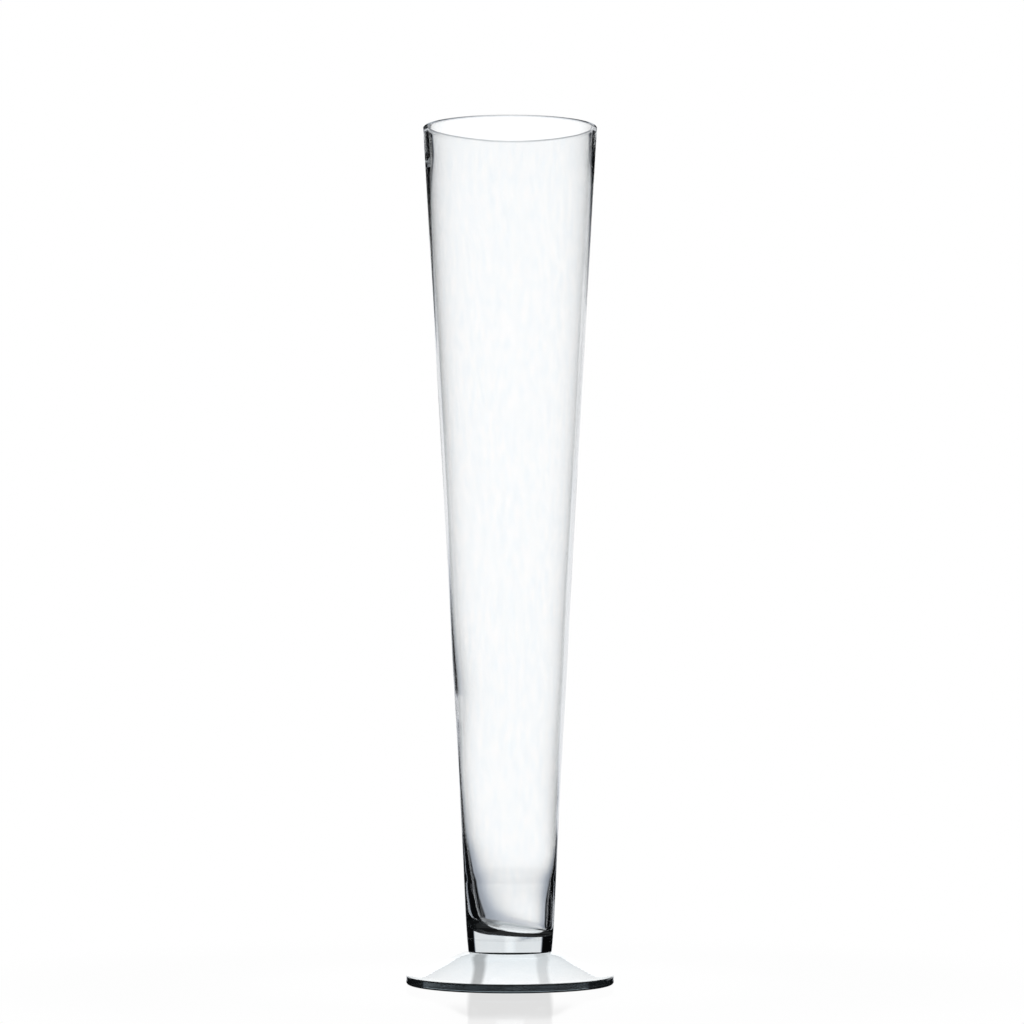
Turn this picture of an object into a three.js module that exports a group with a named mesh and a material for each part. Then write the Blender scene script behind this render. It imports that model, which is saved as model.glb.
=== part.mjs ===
// Tall clear glass flower vase: a trumpet body, a solid stem button and a spread foot.
// The vase is three gathers of glass fused hot in line, so every piece is turned about +Z.
// Millimetres, +Z up, origin at the middle of the circle that the foot rests on.
import * as THREE from 'three';

// Driving dimensions.
const VASE_HEIGHT = 609.6;
const LIP_RADIUS = 63;
const FOOT_RADIUS = 73.5;
const FOOT_TOP = 22.8;
const BUTTON_TOP = 32;
const JOINT_GAP = 0.3;
const JOINT_ROUND = 0.4;

// Radii of the stem, from the foot's collar up to where the body starts.
const COLLAR_RADIUS = 29.2;
const BUTTON_LOW_RADIUS = 29.5;
const BODY_LOW_RADIUS = 30.4;

// The body's wall: the outside leans out a little more towards the rim.
const FLARE_START = VASE_HEIGHT - 6;
const RADIUS_AT_FLARE = 61.6;
const OUTSIDE_LEAN = 0.0535;
const RIM_WALL = 3.6;
const LIP_BEAD = 1.7;
const MIDDLE_WALL = 1.5;

// The hollow inside the body, which ends in a round bottom. The last two radii and heights are the
// places that the curve of the bottom is drawn towards.
const HOLLOW_ROUND_TOP = 95;
const LOW_WALL = 2.0;
const HOLLOW_BOTTOM = 35;
const HOLLOW_SIDE_RADIUS = 28;
const HOLLOW_SIDE_HEIGHT = 62;
const HOLLOW_CORNER_RADIUS = 31;
const HOLLOW_CORNER_HEIGHT = 33.5;

// The foot: a solid cone with a thick round edge. Its base is ground flat around a slight hollow, so
// that it rests on a ring.
const FOOT_SHOULDER_RADIUS = 31;
const FOOT_SHOULDER_HEIGHT = FOOT_TOP - 0.2;
const FOOT_WAIST_RADIUS = 49;
const FOOT_WAIST_HEIGHT = 14.2;
const FOOT_EDGE_HEIGHT = 6.9;
const FOOT_EDGE_TOP_ROUND = 1.9;
const FOOT_EDGE_LOW_ROUND = 1.6;
const FOOT_EDGE_TOP_TURN = 75;
const REST_RING_WIDTH = 4.4;
const BASE_HOLLOW_HEIGHT = 0.8;

// Steps along each profile and around the axis.
const TURN_STEPS = 64;
const WALL_STEPS = 10;
const BOTTOM_STEPS = 9;
const ROUND_STEPS = 3;
const JOINT_ROUND_STEPS = 2;

const point = (radius, height) => new THREE.Vector2(radius, height);

// Points on a round from one angle to the other, in degrees from the outward direction.
function round(centreRadius, centreHeight, size, fromDegrees, toDegrees, steps = ROUND_STEPS) {
  const points = [];
  for (let step = 0; step <= steps; step += 1) {
    const angle = THREE.MathUtils.degToRad(fromDegrees + ((toDegrees - fromDegrees) * step) / steps);
    points.push(point(centreRadius + size * Math.cos(angle), centreHeight + size * Math.sin(angle)));
  }
  return points;
}

// A profile turned about +Z, as one named piece of clear glass.
function turnedGlass(name, profile, tint) {
  const geometry = new THREE.LatheGeometry(profile, TURN_STEPS);
  geometry.rotateX(Math.PI / 2);
  const material = new THREE.MeshStandardMaterial({ color: tint, roughness: 0.02, metalness: 0 });
  const mesh = new THREE.Mesh(geometry, material);
  mesh.name = name;
  return mesh;
}

// The outside of the body from the joint with the button to the start of the lip's flare.
function bodyOutside() {
  const middle = (BUTTON_TOP + FLARE_START) / 2;
  const radiusAtMiddle = BODY_LOW_RADIUS + OUTSIDE_LEAN * (middle - BUTTON_TOP);
  return new THREE.QuadraticBezierCurve(
    point(BODY_LOW_RADIUS, BUTTON_TOP),
    point(radiusAtMiddle, middle),
    point(RADIUS_AT_FLARE, FLARE_START),
  );
}

// The same outside as a radius at a height: the curve's heights are evenly spaced.
function outsideRadius(height) {
  const share = (height - BUTTON_TOP) / (FLARE_START - BUTTON_TOP);
  return bodyOutside().getPoint(share).x;
}

// The inside of the wall above the round bottom, thinnest at half height.
function bodyInside() {
  const middle = (HOLLOW_ROUND_TOP + FLARE_START) / 2;
  return new THREE.SplineCurve([
    point(RADIUS_AT_FLARE - RIM_WALL, FLARE_START),
    point(outsideRadius(middle) - MIDDLE_WALL, middle),
    point(outsideRadius(HOLLOW_ROUND_TOP) - LOW_WALL, HOLLOW_ROUND_TOP),
  ]);
}

// The round bottom of the hollow, from the wall in to the axis.
function hollowBottom() {
  const wallRadius = outsideRadius(HOLLOW_ROUND_TOP) - LOW_WALL;
  return new THREE.CubicBezierCurve(
    point(wallRadius, HOLLOW_ROUND_TOP),
    point(HOLLOW_SIDE_RADIUS, HOLLOW_SIDE_HEIGHT),
    point(HOLLOW_CORNER_RADIUS, HOLLOW_CORNER_HEIGHT),
    point(0, HOLLOW_BOTTOM),
  );
}

function body() {
  const beadHeight = VASE_HEIGHT - LIP_BEAD;
  const beadRadius = LIP_RADIUS - LIP_BEAD;
  const lowCentre = BODY_LOW_RADIUS - JOINT_ROUND;
  const profile = [
    point(0, BUTTON_TOP),
    ...round(lowCentre, BUTTON_TOP + JOINT_ROUND, JOINT_ROUND, -90, 0, JOINT_ROUND_STEPS),
    ...bodyOutside().getPoints(WALL_STEPS).slice(1),
    ...round(beadRadius, beadHeight, LIP_BEAD, 0, 180, 2 * ROUND_STEPS),
    ...bodyInside().getPoints(WALL_STEPS),
    ...hollowBottom().getPoints(BOTTOM_STEPS).slice(1),
  ];
  return turnedGlass('body', profile, 0xf4f8fb);
}

function stemButton() {
  const bottom = FOOT_TOP + JOINT_GAP;
  const top = BUTTON_TOP - JOINT_GAP;
  const lowCentre = BUTTON_LOW_RADIUS - JOINT_ROUND;
  const topCentre = BODY_LOW_RADIUS - JOINT_ROUND;
  const profile = [
    point(0, bottom),
    ...round(lowCentre, bottom + JOINT_ROUND, JOINT_ROUND, -90, 0, JOINT_ROUND_STEPS),
    ...round(topCentre, top - JOINT_ROUND, JOINT_ROUND, 0, 90, JOINT_ROUND_STEPS),
    point(0, top),
  ];
  return turnedGlass('stem_button', profile, 0xe9f0f5);
}

function foot() {
  const ringOuter = FOOT_RADIUS - FOOT_EDGE_LOW_ROUND;
  const ringInner = ringOuter - REST_RING_WIDTH;
  const edgeCentre = FOOT_RADIUS - FOOT_EDGE_TOP_ROUND;
  const edgeTop = FOOT_EDGE_HEIGHT - FOOT_EDGE_TOP_ROUND;
  const base = new THREE.QuadraticBezierCurve(
    point(0, BASE_HOLLOW_HEIGHT),
    point(ringInner / 2, BASE_HOLLOW_HEIGHT),
    point(ringInner, 0),
  );
  const cone = new THREE.QuadraticBezierCurve(
    point(edgeCentre, FOOT_EDGE_HEIGHT),
    point(FOOT_WAIST_RADIUS, FOOT_WAIST_HEIGHT),
    point(FOOT_SHOULDER_RADIUS, FOOT_SHOULDER_HEIGHT),
  );
  const profile = [
    ...base.getPoints(BOTTOM_STEPS),
    ...round(ringOuter, FOOT_EDGE_LOW_ROUND, FOOT_EDGE_LOW_ROUND, -90, 0),
    ...round(edgeCentre, edgeTop, FOOT_EDGE_TOP_ROUND, 0, FOOT_EDGE_TOP_TURN),
    ...cone.getPoints(BOTTOM_STEPS),
    point(COLLAR_RADIUS, FOOT_TOP),
    point(0, FOOT_TOP),
  ];
  return turnedGlass('foot', profile, 0xe3edf4);
}

const vase = new THREE.Group();
vase.add(foot(), stemButton(), body());

export default vase;
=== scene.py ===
"""Looks of the tall clear glass flower vase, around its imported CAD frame.

The vase is three gathers of hand-worked glass fused in line: a blown body, a solid stem button and a
spread foot. Each is a fine closed mesh here, and fused faces let light straight through, as they do in
one mass of glass. The studio is a bright-field one: a white background behind the glass and dark
surroundings beside it, which is what draws clear glass in black lines.
"""
import math

import bmesh
import bpy
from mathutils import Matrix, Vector


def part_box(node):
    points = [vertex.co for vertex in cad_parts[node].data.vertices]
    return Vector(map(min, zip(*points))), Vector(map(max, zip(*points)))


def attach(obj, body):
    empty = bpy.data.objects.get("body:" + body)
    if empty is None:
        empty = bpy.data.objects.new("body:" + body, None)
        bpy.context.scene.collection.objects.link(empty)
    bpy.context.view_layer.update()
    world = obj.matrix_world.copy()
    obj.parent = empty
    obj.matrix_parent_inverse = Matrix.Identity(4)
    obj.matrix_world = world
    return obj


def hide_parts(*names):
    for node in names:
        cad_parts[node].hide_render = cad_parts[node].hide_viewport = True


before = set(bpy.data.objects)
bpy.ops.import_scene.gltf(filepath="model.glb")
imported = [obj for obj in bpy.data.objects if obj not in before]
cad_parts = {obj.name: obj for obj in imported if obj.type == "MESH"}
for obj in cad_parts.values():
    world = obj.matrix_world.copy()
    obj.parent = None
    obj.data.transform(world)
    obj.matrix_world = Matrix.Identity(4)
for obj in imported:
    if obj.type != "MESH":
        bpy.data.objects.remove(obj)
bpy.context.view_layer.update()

# Sizes of the glass are in millimetres, and the frame's are in metres.
MM = 0.001
BODY_LOW, BODY_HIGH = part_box("body")
BUTTON_LOW, BUTTON_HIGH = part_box("stem_button")
FOOT_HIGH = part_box("foot")[1]
TOP = BODY_HIGH.z / MM
LIP_RADIUS = BODY_HIGH.x / MM
FOOT_RADIUS = FOOT_HIGH.x / MM
FOOT_TOP = FOOT_HIGH.z / MM

# The fused faces reach into the frame's gaps of 0.3 mm, until almost nothing is left of them.
JOINT_REACH = 0.14
BODY_BOTTOM = BODY_LOW.z / MM - JOINT_REACH
BUTTON_TOP = BUTTON_HIGH.z / MM + JOINT_REACH
BUTTON_BOTTOM = BUTTON_LOW.z / MM - JOINT_REACH

# Steps around the axis, and along each stretch of an outline.
TURN_STEPS = 192
WALL_STEPS = 150
BEAD_STEPS = 12
HOLLOW_END_STEPS = 60
BUTTON_STEPS = 12
BASE_STEPS = 30
EDGE_STEPS = 8
CONE_STEPS = 60
TABLE_STEPS = 96

WHITE = (1, 1, 1)


# ---------------------------------------------------------------------------------------- outlines

def smooth_step(value, low, high):
    """0 below low, 1 above high and a smooth rise between them."""
    share = min(max((value - low) / (high - low), 0.0), 1.0)
    return share * share * (3 - 2 * share)


def blend(points, at):
    """A smooth value at a place, through (place, value) points in rising order of place."""
    if at <= points[0][0]:
        return points[0][1]
    if at >= points[-1][0]:
        return points[-1][1]
    last = len(points) - 1
    index = next(i for i in range(last) if points[i + 1][0] >= at)
    before, low, high, after = (points[min(max(index + k, 0), last)] for k in (-1, 0, 1, 2))
    span = high[0] - low[0]
    share = (at - low[0]) / span
    slope_low = (high[1] - before[1]) / (high[0] - before[0]) * span
    slope_high = (after[1] - low[1]) / (after[0] - low[0]) * span
    squared, cubed = share * share, share ** 3
    return (
        (2 * cubed - 3 * squared + 1) * low[1]
        + (cubed - 2 * squared + share) * slope_low
        + (3 * squared - 2 * cubed) * high[1]
        + (cubed - squared) * slope_high
    )


def outline(points, share):
    """A (radius, height) on the smooth outline through points, from share 0 to share 1."""
    at = share * (len(points) - 1)
    return tuple(blend([(i, point[axis]) for i, point in enumerate(points)], at) for axis in (0, 1))


def arc(centre_radius, centre_height, size, start, end, steps):
    """(radius, height) points on a round, from one angle to another, in radians from straight out."""
    points = []
    for step in range(steps + 1):
        turn = start + (end - start) * step / steps
        points.append((centre_radius + size * math.cos(turn), centre_height + size * math.sin(turn)))
    return points


# ------------------------------------------------------------------------------------ mesh making

# The material slots of each piece of glass.
GLASS, FUSED, GROUND = 0, 1, 2


def ring(radius, height, centre=0.0, tilt=0.0):
    """One ring of points, in millimetres. The centre is its shift and tilt its fall towards +X."""
    points = []
    for step in range(TURN_STEPS):
        angle = 2 * math.pi * step / TURN_STEPS
        x, y = math.cos(angle), math.sin(angle)
        place = Vector((centre + radius * x, radius * y, 0))
        place.z = height - tilt * place.x
        points.append(place * MM)
    return points


def pole(height):
    """The single point on the axis where a piece's surface starts or ends."""
    return [Vector((0, 0, height * MM))]


def link_mesh(name, mesh, materials):
    """A new object in the scene from a bmesh, which is freed."""
    data = bpy.data.meshes.new(name)
    mesh.to_mesh(data)
    mesh.free()
    for material in materials:
        data.materials.append(material)
    piece = bpy.data.objects.new(name, data)
    bpy.context.collection.objects.link(piece)
    return piece


def lathe(name, rings, materials):
    """A closed mesh from rings of points, each (points, slot), with a single point at either end."""
    mesh = bmesh.new()
    columns = [[mesh.verts.new(p) for p in points] for points, _ in rings]
    for low, high, (_, slot) in zip(columns, columns[1:], rings[1:]):
        for i in range(max(len(low), len(high))):
            j = i + 1
            corners = []
            for vert in (
                low[i % len(low)], low[j % len(low)], high[j % len(high)], high[i % len(high)]
            ):
                if vert not in corners:
                    corners.append(vert)
            face = mesh.faces.new(corners)
            face.smooth = True
            face.material_index = slot
    bmesh.ops.recalc_face_normals(mesh, faces=mesh.faces)
    for edge in mesh.edges:
        # a fused face ends in a sharp edge, so it doesn't bend the shading of the wall beside it
        edge.smooth = len({face.material_index for face in edge.link_faces}) == 1
    return link_mesh(name, mesh, materials)


def stand_in(piece, node):
    """Puts a piece in the place of a CAD node. The vase is one rigid body of one glass."""
    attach(piece, "root")
    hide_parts(node)


# ------------------------------------------------------------------------------------ node graphs

class Graph:
    """A node tree with short calls for maths on values."""

    def __init__(self, tree):
        self.nodes = tree.nodes
        self.links = tree.links

    def add(self, kind, **inputs):
        node = self.nodes.new(kind)
        for key, value in inputs.items():
            self.set(node.inputs[key], value)
        return node

    def set(self, socket, value):
        if isinstance(value, bpy.types.NodeSocket):
            self.links.new(value, socket)
        else:
            socket.default_value = value

    def maths(self, operation, *values):
        node = self.nodes.new("ShaderNodeMath")
        node.operation = operation
        for socket, value in zip(node.inputs, values):
            self.set(socket, value)
        return node.outputs[0]

    def product(self, first, *others):
        for value in others:
            first = self.maths("MULTIPLY", first, value)
        return first

    def largest(self, first, *others):
        for value in others:
            first = self.maths("MAXIMUM", first, value)
        return first

    def size_of(self, value):
        return self.maths("ABSOLUTE", value)

    def rest_of(self, share):
        return self.maths("SUBTRACT", 1.0, share)

    def ramp(self, value, low, high, at_low=0.0, at_high=1.0):
        """A smooth change from at_low, where the value is low, to at_high, where it is high."""
        node = self.nodes.new("ShaderNodeMapRange")
        node.interpolation_type = "SMOOTHSTEP"
        inputs = {"Value": value, "From Min": low, "From Max": high, "To Min": at_low, "To Max": at_high}
        for key, item in inputs.items():
            self.set(node.inputs[key], item)
        return node.outputs[0]

    def mix(self, share, none, full):
        """One colour where the share is 0, and another where it is 1."""
        node = self.nodes.new("ShaderNodeMix")
        node.data_type = "RGBA"
        self.set(node.inputs["Factor"], share)
        node.inputs["A"].default_value = (*none, 1)
        node.inputs["B"].default_value = (*full, 1)
        return node.outputs["Result"]

    def noise(self, place, scale, detail):
        return self.add("ShaderNodeTexNoise", Vector=place, Scale=scale, Detail=detail).outputs["Fac"]

    def radius(self, place):
        """The distance from the vase's axis, in metres."""
        x, y, _ = self.add("ShaderNodeSeparateXYZ", Vector=place).outputs
        return self.maths("SQRT", self.maths("ADD", self.product(x, x), self.product(y, y)))

    def bump(self, shader, height):
        """Relief on a shader, from a height in metres."""
        bump = self.add("ShaderNodeBump", Height=height, Distance=1.0, Strength=1.0)
        self.links.new(bump.outputs[0], shader.inputs["Normal"])

    def rays(self):
        """Two shares: the camera's own rays, and light that no surface has mirrored on its way."""
        path = self.add("ShaderNodeLightPath")
        unmirrored = self.ramp(path.outputs["Glossy Depth"], 0.2, 0.8, 1.0, 0.0)
        return path.outputs["Is Camera Ray"], unmirrored

    def white_to(self, camera_ray, level):
        """The level that the glass meets, and plain white for what the camera sees past the glass."""
        return self.maths("ADD", self.product(level, self.rest_of(camera_ray)), camera_ray)


# ------------------------------------------------------------------------------------------ glass

GLASS_IOR = 1.5
# the colour that light keeps on its way through the glass, and the tint of the glass between its cords
DEPTH_TINT = (0.84, 0.87, 0.885, 1)
CORD_TINT = (0.965, 0.98, 0.99)
# cords and waves are drawn out along the axis, and cords are finer and much lower than waves
DRAWN_OUT = (1, 1, 0.3)
CORDS_PER_WAVE = 6
CORD_SHARE = 0.03
# a faint film of handling, where the surface is a little less sharp
FILM_SCALE = 35
FILM_ROUGHNESS = 0.012
# how far the waves push the tool rings about, where a turn of 2 pi is one ring's spacing
RING_WANDER = 9.0

# A ground face scatters light. It is no mirror from inside, so it bends light far less than the rest.
GROUND_IOR = 1.06
GROUND_TINT = (0.96, 0.97, 0.98)
PIT_SCALE = 900
PIT_DEPTH = 0.01
SCUFF_SCALE = 60
SCUFF_ROUGHNESS = (0.09, 0.16)
WORN_ROUGHNESS = 0.12
REST_RING_INNER = 67.5


def see_through(name, ior):
    """A plain see-through material, with its graph and its shader."""
    material = bpy.data.materials.new(name)
    material.use_nodes = True
    g = Graph(material.node_tree)
    shader = g.nodes["Principled BSDF"]
    shader.inputs["IOR"].default_value = ior
    shader.inputs["Transmission Weight"].default_value = 1
    return material, g, shader


def glass_material(name, density, wave_size, wave_height, ring_spacing=0.0, ring_height=0.0):
    """Clear glass with the faint cords and waves of hand work, and on a spun piece the rings that the
    tool left. Sizes are in millimetres, and a wave's size is its length around the piece."""
    material, g, shader = see_through(name, GLASS_IOR)
    place = g.add("ShaderNodeTexCoord").outputs["Object"]
    drawn = g.add("ShaderNodeMapping", Vector=place, Scale=DRAWN_OUT).outputs[0]
    waves = g.noise(drawn, 1 / (wave_size * MM), 1.5)
    cords = g.noise(drawn, CORDS_PER_WAVE / (wave_size * MM), 3.0)
    film = g.noise(place, FILM_SCALE, 4.0)
    g.set(shader.inputs["Base Color"], g.mix(g.ramp(cords, 0.3, 0.7), CORD_TINT, WHITE))
    g.set(shader.inputs["Roughness"], g.ramp(film, 0.5, 0.75, 0.0, FILM_ROUGHNESS))
    relief = g.maths("MULTIPLY_ADD", cords, CORD_SHARE, waves)
    relief = g.product(relief, wave_height * MM)
    if ring_spacing:
        turn = g.product(g.radius(place), 2 * math.pi / (ring_spacing * MM))
        turn = g.maths("MULTIPLY_ADD", waves, RING_WANDER, turn)
        relief = g.maths("MULTIPLY_ADD", g.maths("SINE", turn), ring_height * MM, relief)
    g.bump(shader, relief)
    absorption = g.add("ShaderNodeVolumeAbsorption", Color=DEPTH_TINT, Density=density)
    g.links.new(absorption.outputs[0], g.nodes["Material Output"].inputs["Volume"])
    return material


def ground_material():
    """The foot's base, ground flat: fine pits scatter light there, it is no mirror from inside, and
    the ring that it rests on is worn duller than the slight hollow inside it."""
    material, g, shader = see_through("ground_base", GROUND_IOR)
    place = g.add("ShaderNodeTexCoord").outputs["Object"]
    pits = g.noise(place, PIT_SCALE, 3.0)
    scuffs = g.noise(place, SCUFF_SCALE, 5.0)
    worn_from, worn_to = (REST_RING_INNER - 1.5) * MM, (REST_RING_INNER + 0.5) * MM
    worn = g.ramp(g.radius(place), worn_from, worn_to, 0.0, WORN_ROUGHNESS)
    g.set(shader.inputs["Base Color"], g.mix(g.ramp(scuffs, 0.3, 0.7), GROUND_TINT, WHITE))
    g.set(shader.inputs["Roughness"], g.maths("ADD", g.ramp(scuffs, 0.35, 0.7, *SCUFF_ROUGHNESS), worn))
    g.bump(shader, g.product(pits, PIT_DEPTH * MM))
    return material


def fused_material():
    """The face of a fused joint: one mass of glass has no surface there, so nothing is seen."""
    material = bpy.data.materials.new("fused_joint")
    material.use_nodes = True
    shader = material.node_tree.nodes["Principled BSDF"]
    shader.inputs["Alpha"].default_value = 0
    return material


# ------------------------------------------------------------------------------------ body, button

LIP_BEAD = 1.75
BEAD_HEIGHT = TOP - LIP_BEAD
# the lip flares a little less than the frame's
LIP_INSET = 0.6
MOUTH_RADIUS = LIP_RADIUS - LIP_INSET

# (height, radius) of the outside: a straight cone above a slightly pinched foot end
OUTSIDE = [
    (22.8, 29.6), (32, 30.5), (46, 31.4), (60, 32.1), (93, 33.6), (160, 37.0), (222, 40.6), (264, 42.7),
    (320, 45.7), (TOP - 12, 61.65), (BEAD_HEIGHT, MOUTH_RADIUS),
]

# (height, thickness) of the wall on its thick side, -X, and on its thin side, +X
THICK_SIDE = [
    (73, 4.5), (93, 2.9), (106, 2.1), (150, 1.2), (185, 1.7), (210, 2.2), (240, 1.6), (270, 1.1), (440, 1.0),
    (487, 1.15), (521, 1.45), (555, 1.9), (575, 2.7), (590, 3.5), (BEAD_HEIGHT, 3.7),
]
THIN_SIDE = [
    (73, 3.0), (82, 2.2), (93, 1.6), (130, 1.6), (220, 1.5), (320, 1.0), (470, 0.85), (504, 1.1),
    (521, 1.3), (555, 1.6), (575, 1.9), (590, 2.8), (BEAD_HEIGHT, 3.3),
]

# The end of the hollow, as (radius, height) from the axis out, on the thick side and the thin one.
HOLLOW_BOTTOM = 35.0
HOLLOW_END_TOP = 73
HOLLOW_THICK_SIDE = [
    (0, HOLLOW_BOTTOM), (10, 35.2), (16, 36.8), (20.6, 40.4), (23.4, 46.5), (25.8, 58.5),
    (27.9, HOLLOW_END_TOP),
]
HOLLOW_THIN_SIDE = [
    (0, HOLLOW_BOTTOM), (17, 34.9), (22.5, 35.9), (25.2, 38.8), (26.2, 45), (27.4, 58.5),
    (29.4, HOLLOW_END_TOP),
]
# the bottom of the hollow falls towards +X, and the tilt fades out between these heights
HOLLOW_TILT = 0.05
TILT_FADE = (36, 70)


def outside_rings(low, high, steps):
    """Rings up the outside of the stem or the body, above a fused face at the lower end."""
    rings = [(pole(low), FUSED)]
    for step in range(steps + 1):
        height = low + (high - low) * step / steps
        rings.append((ring(blend(OUTSIDE, height), height), FUSED if step == 0 else GLASS))
    return rings


def lip_rings():
    """Rings over the fire-polished lip, a round bead that shifts from the outside's axis to the hollow's."""
    shift = (THICK_SIDE[-1][1] - THIN_SIDE[-1][1]) / 2
    rings = []
    for radius, height in arc(MOUTH_RADIUS - LIP_BEAD, BEAD_HEIGHT, LIP_BEAD, 0, math.pi, BEAD_STEPS)[1:-1]:
        inward = (MOUTH_RADIUS - radius) / (2 * LIP_BEAD)
        rings.append((ring(radius, height, centre=shift * inward), GLASS))
    return rings


def hollow_rings():
    """Rings down the inside of the wall, which is thicker on one side than on the other."""
    rings = []
    for step in range(WALL_STEPS):
        height = BEAD_HEIGHT - (BEAD_HEIGHT - HOLLOW_END_TOP) * step / WALL_STEPS
        thick, thin = blend(THICK_SIDE, height), blend(THIN_SIDE, height)
        radius = blend(OUTSIDE, height) - (thick + thin) / 2
        rings.append((ring(radius, height, centre=(thick - thin) / 2), GLASS))
    return rings


def hollow_end_rings():
    """Rings in to the axis along the hollow's round bottom."""
    rings = []
    for step in range(HOLLOW_END_STEPS, 0, -1):
        left, left_height = outline(HOLLOW_THICK_SIDE, step / HOLLOW_END_STEPS)
        right, right_height = outline(HOLLOW_THIN_SIDE, step / HOLLOW_END_STEPS)
        height = (left_height + right_height) / 2
        # the two sides turn in at different heights, which tilts the ring as well
        lean = (left_height - right_height) / (left + right)
        tilt = HOLLOW_TILT * (1 - smooth_step(height, *TILT_FADE)) + lean
        rings.append((ring((left + right) / 2, height, centre=(right - left) / 2, tilt=tilt), GLASS))
    rings.append((pole(HOLLOW_BOTTOM), GLASS))
    return rings


def make_body(glass, fused):
    rings = outside_rings(BODY_BOTTOM, BEAD_HEIGHT, WALL_STEPS)
    rings += lip_rings() + hollow_rings() + hollow_end_rings()
    stand_in(lathe("vase_body", rings, [glass, fused]), "body")


def make_button(glass, fused):
    rings = outside_rings(BUTTON_BOTTOM, BUTTON_TOP, BUTTON_STEPS)
    rings.append((pole(BUTTON_TOP), FUSED))
    stand_in(lathe("stem_button_glass", rings, [glass, fused]), "stem_button")


# ------------------------------------------------------------------------------------------- foot

EDGE_HEIGHT = 6.9
EDGE_TOP_ROUND = 1.9
EDGE_LOW_ROUND = 1.6
EDGE_TOP_TURN = math.radians(70)
COLLAR_RADIUS = 29.7
# (radius, height) of the underside, from the axis out to the ring that the foot rests on
UNDERSIDE = [(0, 0.8), (20, 0.75), (45, 0.5), (REST_RING_INNER, 0)]
# (radius, height) of the top, from the edge in to the collar below the button
CONE = [(72, 7.0), (60, 10.8), (48.3, 15.2), (42.4, 17.8), (36.6, 20.6), (33.2, 21.9), (31, 22.5)]


def make_foot(glass, fused, ground):
    rings = [(pole(UNDERSIDE[0][1]), GROUND)]
    for step in range(1, BASE_STEPS + 1):
        rings.append((ring(*outline(UNDERSIDE, step / BASE_STEPS)), GROUND))
    low_round = arc(FOOT_RADIUS - EDGE_LOW_ROUND, EDGE_LOW_ROUND, EDGE_LOW_ROUND, -math.pi / 2, 0, EDGE_STEPS)
    # the low round starts at the outer edge of the ring that the foot rests on
    rings.append((ring(*low_round[0]), GROUND))
    top_centre = (FOOT_RADIUS - EDGE_TOP_ROUND, EDGE_HEIGHT - EDGE_TOP_ROUND)
    top_round = arc(*top_centre, EDGE_TOP_ROUND, 0, EDGE_TOP_TURN, EDGE_STEPS)
    cone = [outline(CONE, step / CONE_STEPS) for step in range(CONE_STEPS + 1)]
    collar_top = FOOT_TOP + JOINT_REACH
    for point in low_round[1:] + top_round + cone + [(COLLAR_RADIUS, collar_top)]:
        rings.append((ring(*point), GLASS))
    rings.append((pole(collar_top), FUSED))
    stand_in(lathe("foot_glass", rings, [glass, fused, ground]), "foot")


# ------------------------------------------------------------------------------------------ studio

# Directions are in degrees. Azimuth is 0 towards +Y, behind the vase, and 90 towards +X, and rise is
# the elevation. A level of 1 is the white that the camera sees.
PANEL_EDGE = 0.8
DARKEST = 0.003
SHADE_TINT = (0.84, 0.895, 1.0)


class Sky(Graph):
    """The world's node tree, with the direction that light comes from."""

    def __init__(self, tree):
        super().__init__(tree)
        direction = self.add("ShaderNodeTexCoord").outputs["Generated"]
        x, y, z = self.add("ShaderNodeSeparateXYZ", Vector=direction).outputs
        self.azimuth = self.product(self.maths("ARCTAN2", x, y), 180 / math.pi)
        self.rise = self.product(self.maths("ARCSINE", z), 180 / math.pi)
        self.sideways = self.size_of(x)
        self.behind = self.ramp(self.size_of(self.azimuth), 50.0, 60.0, 1.0, 0.0)

    def off_nearest(self, spacing, centre=0.0):
        """Degrees of azimuth away from the nearest of evenly spaced directions."""
        past = self.maths("ADD", self.azimuth, 720 + spacing / 2 - centre)
        return self.size_of(self.maths("SUBTRACT", self.maths("MODULO", past, spacing), spacing / 2))

    def panel(self, off, half_width, low, high, level, soft=2.0):
        """Light to half a width either side of a direction and from low to high, with soft edges."""
        spread = self.maths("DIVIDE", self.maths("SUBTRACT", off, half_width), soft)
        across = self.ramp(spread, -1.0, 1.0, 1.0, 0.0)
        up = self.ramp(self.maths("SUBTRACT", self.rise, low), -PANEL_EDGE, PANEL_EDGE)
        down = self.ramp(self.maths("SUBTRACT", self.rise, high), -PANEL_EDGE, PANEL_EDGE, 1.0, 0.0)
        return self.product(across, up, down, level)


def tall_panels(sky):
    """Panels in front of the vase, behind it and to its sides, from far below to a little above."""
    off = sky.off_nearest(90.0)
    # they fade towards their sides, and less so higher up
    edge_level = sky.ramp(sky.rise, 1.0, 7.0, at_low=0.6, at_high=0.95)
    fade = sky.ramp(off, 1.0, 13.0, at_low=1.0, at_high=edge_level)
    # the panels to the sides are narrower than those in front and behind, and all narrow upwards
    widest = sky.ramp(sky.sideways, 0.4, 0.6, at_low=16.5, at_high=9.0)
    narrowing = sky.ramp(sky.rise, 3.0, 6.0, at_low=0.0, at_high=3.5)
    half_width = sky.maths("SUBTRACT", widest, narrowing)
    tall = sky.panel(off, half_width, low=-95.0, high=20.0, level=1.17, soft=1.8)
    # behind the vase they are dimmer below its level, but not far below
    below_level = sky.ramp(sky.rise, -15.0, -6.5, at_low=0.28, at_high=0.0)
    dim = sky.product(below_level, sky.ramp(sky.rise, -50.0, -35.0), sky.behind)
    return sky.product(tall, fade, sky.rest_of(dim))


def low_band(sky):
    """A wide low band of light behind the vase, narrower on the left than on the right."""
    low = sky.ramp(sky.azimuth, -2.0, 2.0, at_low=-0.6, at_high=-5.5)
    high = sky.ramp(sky.azimuth, -2.0, 2.0, at_low=3.8, at_high=5.0)
    return sky.panel(sky.off_nearest(360.0, centre=4.0), 40.0, low, high, level=1.0)


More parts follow.
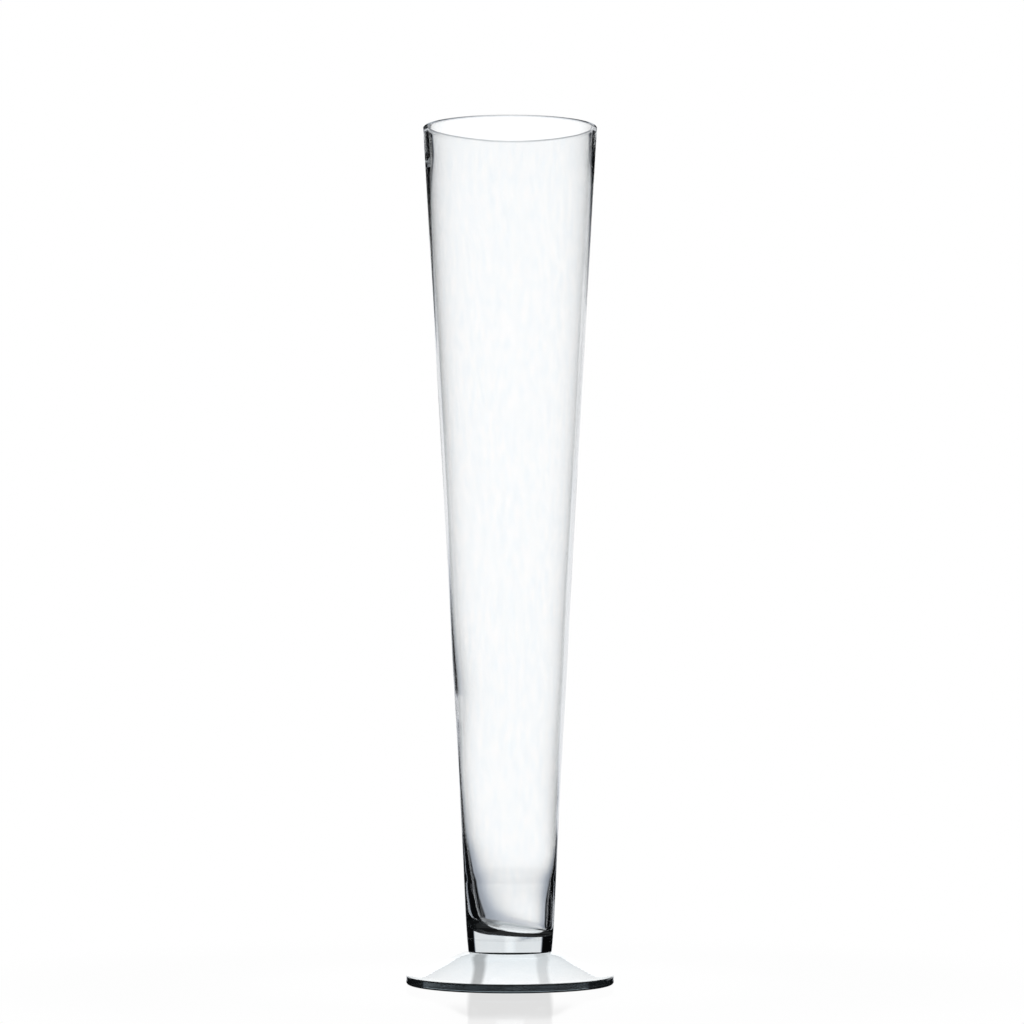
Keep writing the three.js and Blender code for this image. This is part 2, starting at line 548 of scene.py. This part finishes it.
def corner_panels(sky):
    """Panels between the tall ones, whose tops are lower behind the vase than in front of it."""
    panels = sky.panel(sky.off_nearest(90.0, centre=45.0), 10.0, low=-42.0, high=0.0, level=1.1, soft=1.6)
    top = sky.ramp(sky.size_of(sky.azimuth), 80.0, 100.0, at_low=-14.0, at_high=-4.0)
    below_top = sky.ramp(sky.maths("SUBTRACT", sky.rise, top), -1.0, 1.0, 1.0, 0.0)
    return sky.product(panels, below_top)


def make_world():
    """A dark studio around white panels. The camera itself sees plain white behind the vase."""
    world = bpy.data.worlds.new("studio")
    bpy.context.scene.world = world
    world.use_nodes = True
    world.node_tree.nodes.clear()
    sky = Sky(world.node_tree)
    camera_ray, unmirrored = sky.rays()
    band = low_band(sky)
    # straight below the vase the studio is as white as its table
    beneath = sky.ramp(sky.rise, -64.0, -54.0, at_low=0.95, at_high=0.0)
    open_light = sky.product(sky.largest(band, corner_panels(sky), beneath), unmirrored)
    # light that was mirrored in the glass comes from behind it alone, which keeps the lines black
    tall = sky.product(tall_panels(sky), sky.largest(unmirrored, sky.behind))
    mirrored = sky.product(sky.ramp(sky.rise, -5.0, -3.5, at_low=0.0, at_high=0.85), band)
    level = sky.maths("ADD", sky.largest(tall, open_light, mirrored), DARKEST)
    seen = sky.white_to(camera_ray, level)
    tint = sky.mix(sky.largest(sky.ramp(seen, 0.5, 1.0), camera_ray), SHADE_TINT, WHITE)
    background = sky.add("ShaderNodeBackground", Strength=seen, Color=tint)
    output = sky.add("ShaderNodeOutputWorld")
    sky.links.new(background.outputs[0], output.inputs["Surface"])


# ------------------------------------------------------------------------------------------- table

# Sizes on the table are in metres, because its material reads positions.
TABLE_IOR = 1.45
TABLE_GLOSS = 0.6
TABLE_ROUGHNESS = 0.05
# the disc under the vase ends at the first radius, and the ring around it at the second
TABLE_RADII = (0.08, 0.48)
# the table lies a hair below the base, so that the two don't share a plane
TABLE_DROP = 0.05
# where the mirror under the foot starts to fade, and where it ends
UNDER_FOOT = (0.070, 0.074)
# Painted shadow: two darker streaks painted into the table's light, where the stem's dark edges would shade
# it. Each is (side, distance from the axis, half width, level), and its core is of one level. They lean in
# towards the back, by this share of the distance from this far in front.
PAINTED_SHADOW_STREAKS = ((-1, 0.021, 0.0055, 0.5), (1, 0.022, 0.005, 0.75))
STREAK_CORE = 0.002
STREAK_LEAN = 0.09
STREAK_START = 0.042


def table_mirror(g, x, y, distance):
    """How much of the table's look is a mirror: most under the foot and in front of the stem."""
    under = g.ramp(distance, *UNDER_FOOT, at_low=1.0, at_high=0.0)
    in_line = g.ramp(g.size_of(x), 0.026, 0.031, at_low=1.0, at_high=0.0)
    in_front = g.ramp(y, -0.08, 0.0, at_low=1.0, at_high=0.0)
    strip = g.product(in_line, in_front, g.ramp(distance, 0.20, 0.30, at_low=0.8, at_high=0.0))
    around = g.ramp(distance, 0.12, 0.22, at_low=0.06, at_high=0.4)
    fade = g.ramp(distance, 0.24, 0.46, at_low=1.0, at_high=0.0)
    fresnel = g.add("ShaderNodeFresnel", IOR=TABLE_IOR).outputs[0]
    return g.product(g.largest(under, strip, around), fade, fresnel, TABLE_GLOSS)


def table_light_and_painted_shade(g, x, y, unmirrored):
    """How bright the table is to the glass on it: an even white with painted shade and a painted pool of
    light.
    """
    # painted shade: the table is painted darker behind the stem than in front, and darkest behind it on the
    # left
    level = g.ramp(y, 0.005, 0.035, at_low=1.3, at_high=0.8)
    painted_corner_shade = g.product(g.ramp(x, -0.022, -0.012, at_low=0.7, at_high=0.0), g.ramp(y, 0.01, 0.03))
    level = g.product(level, g.rest_of(painted_corner_shade))
    inward = g.product(g.maths("ADD", y, STREAK_START), STREAK_LEAN)
    # the painted shadow streaks end below the stem
    past_stem = g.ramp(y, 0.004, 0.010)
    for side, start, half_width, shade in PAINTED_SHADOW_STREAKS:
        off = g.maths("ADD", g.maths("SUBTRACT", g.product(x, side), start), inward)
        # each streak is painted shadow, darkest at its core
        streak = g.ramp(g.size_of(off), STREAK_CORE, half_width, at_low=shade, at_high=1.0)
        level = g.product(level, g.largest(streak, past_stem))
    # light that was mirrored in the glass meets the dark beside the vase, or a painted pool of light in line
    # with the stem, where light through the stem would fall
    mirrored = g.ramp(g.size_of(x), 0.021, 0.026, at_low=0.03, at_high=0.01)
    return g.maths("ADD", g.product(level, unmirrored), g.product(mirrored, g.rest_of(unmirrored)))


def white_table_material():
    """A white glossy table that mirrors a little at a low angle, and fades into the background. Its white is
    emitted, and what the glass sees of it carries painted shade.
    """
    material = bpy.data.materials.new("white_table")
    material.use_nodes = True
    g = Graph(material.node_tree)
    g.nodes.clear()
    place = g.add("ShaderNodeNewGeometry").outputs["Position"]
    x, y, _ = g.add("ShaderNodeSeparateXYZ", Vector=place).outputs
    distance = g.radius(place)
    camera_ray, unmirrored = g.rays()
    # the white is emitted light, with painted shade and painted shadow streaks for the glass on the table
    white = g.add("ShaderNodeEmission", Strength=g.white_to(camera_ray, table_light_and_painted_shade(g, x, y, unmirrored)))
    gloss = g.add("ShaderNodeBsdfGlossy", Roughness=TABLE_ROUGHNESS)
    mix = g.add("ShaderNodeMixShader", Fac=table_mirror(g, x, y, distance))
    g.links.new(white.outputs[0], mix.inputs[1])
    g.links.new(gloss.outputs[0], mix.inputs[2])
    output = g.add("ShaderNodeOutputMaterial")
    g.links.new(mix.outputs[0], output.inputs["Surface"])
    return material


def circle(mesh, radius):
    """The corners of one circle on the table."""
    turns = [2 * math.pi * step / TABLE_STEPS for step in range(TABLE_STEPS)]
    return [mesh.verts.new((radius * math.cos(turn), radius * math.sin(turn), 0)) for turn in turns]


def stage_table(name, mesh, white):
    table = link_mesh(name, mesh, [white])
    table.location.z = -TABLE_DROP * MM
    return table


def make_table():
    """The table: a disc under the vase, and around it a ring that only the camera sees."""
    white = white_table_material()
    inner, outer = TABLE_RADII
    disc = bmesh.new()
    disc.faces.new(circle(disc, inner))
    stage_table("floor_near", disc, white)
    band = bmesh.new()
    rim = circle(band, outer)
    hole = circle(band, inner)
    for step in range(TABLE_STEPS):
        after = (step + 1) % TABLE_STEPS
        band.faces.new((hole[step], rim[step], rim[after], hole[after]))
    far = stage_table("floor_far", band, white)
    far.visible_transmission = False
    far.visible_glossy = False


# ----------------------------------------------------------------------------------- camera, render

# The camera stands far off, a little below the vase's middle, and looks slightly up.
CAMERA_DISTANCE = 2.59
CAMERA_HEIGHT = 0.25
CAMERA_AIM = (0.0014, 0, CAMERA_HEIGHT + 0.0843)
CAMERA_LENS = 128
SENSOR_WIDTH = 36
# light passes many surfaces on its way through the glass
BOUNCES = 32


def make_camera():
    data = bpy.data.cameras.new("camera")
    data.sensor_width = SENSOR_WIDTH
    data.lens = CAMERA_LENS
    camera = bpy.data.objects.new("camera", data)
    bpy.context.collection.objects.link(camera)
    camera.location = (0, -CAMERA_DISTANCE, CAMERA_HEIGHT)
    camera.rotation_mode = "QUATERNION"
    camera.rotation_quaternion = (Vector(CAMERA_AIM) - camera.location).to_track_quat("-Z", "Y")
    bpy.context.scene.camera = camera


def set_render_look():
    scene = bpy.context.scene
    scene.view_settings.view_transform = "Standard"
    scene.cycles.max_bounces = BOUNCES
    scene.cycles.transmission_bounces = BOUNCES
    scene.cycles.glossy_bounces = BOUNCES
    scene.cycles.transparent_max_bounces = BOUNCES


make_camera()
fused = fused_material()
make_body(glass_material("blown_glass", density=25, wave_size=24, wave_height=0.05), fused)
make_button(glass_material("cast_glass", density=25, wave_size=12, wave_height=0.02), fused)
spun_glass = glass_material(
    "spun_glass", density=45, wave_size=30, wave_height=0.04, ring_spacing=3.1, ring_height=0.008
)
make_foot(spun_glass, fused, ground_material())
make_table()
make_world()
set_render_look()
